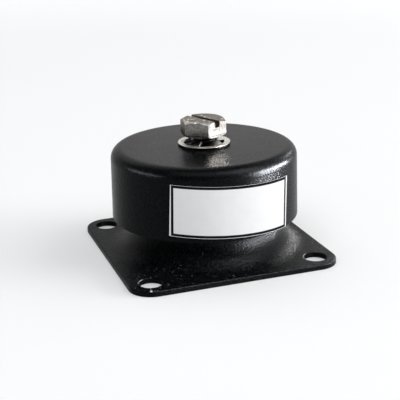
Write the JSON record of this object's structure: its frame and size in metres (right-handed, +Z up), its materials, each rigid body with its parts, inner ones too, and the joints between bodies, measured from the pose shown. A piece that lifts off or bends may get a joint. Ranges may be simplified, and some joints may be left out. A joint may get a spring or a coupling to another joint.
{
  "type": "bell type rubber anti-vibration mount",
  "caption": "Bell type rubber anti-vibration mount: drafted steel cap over a square flanged base, with a rubber spring, bump and rebound stops and a load screw.",
  "frame": {"origin": "centre of the base plate's underside, on the surface that the mount is bolted to", "axes": "+Z up the load axis, from the base plate to the load screw; X and Y parallel to the sides of the square plate, -Y towards the side that carries the label"},
  "size_m": [0.05, 0.05, 0.032],
  "materials": {
    "black_paint": "satin black stoved paint with a fine grain",
    "zinc_steel": "dull zinc plated steel",
    "black_rubber": "matt black natural rubber",
    "stop_rubber": "matt black moulded rubber",
    "turned_steel": "turned steel",
    "screw_steel": "worn plated steel, slightly warm",
    "washer_steel": "worn plated spring steel",
    "label_foil": "satin metal foil with a thin dark border, bare field"
  },
  "bodies": {
    "base": {"base_plate": "black_paint", "lower_ring": "zinc_steel", "rubber_spring": "black_rubber", "bump_stop": "stop_rubber", "rebound_ring": "stop_rubber"},
    "cap": {"cap": "black_paint", "upper_ring": "zinc_steel", "core": "turned_steel", "rebound_washer": "zinc_steel", "core_nut": "zinc_steel", "load_screw": "screw_steel", "tooth_lock_washer": "washer_steel", "label": "label_foil"}
  },
  "joints": [
    {"name": "bounce", "type": "slide", "parent": "base", "child": "cap", "axis": [0, 0, 1], "range_m": [-0.0025, 0.0015], "stiffness_N_per_m": 20000, "deforming": ["rubber_spring"]}
  ]
}
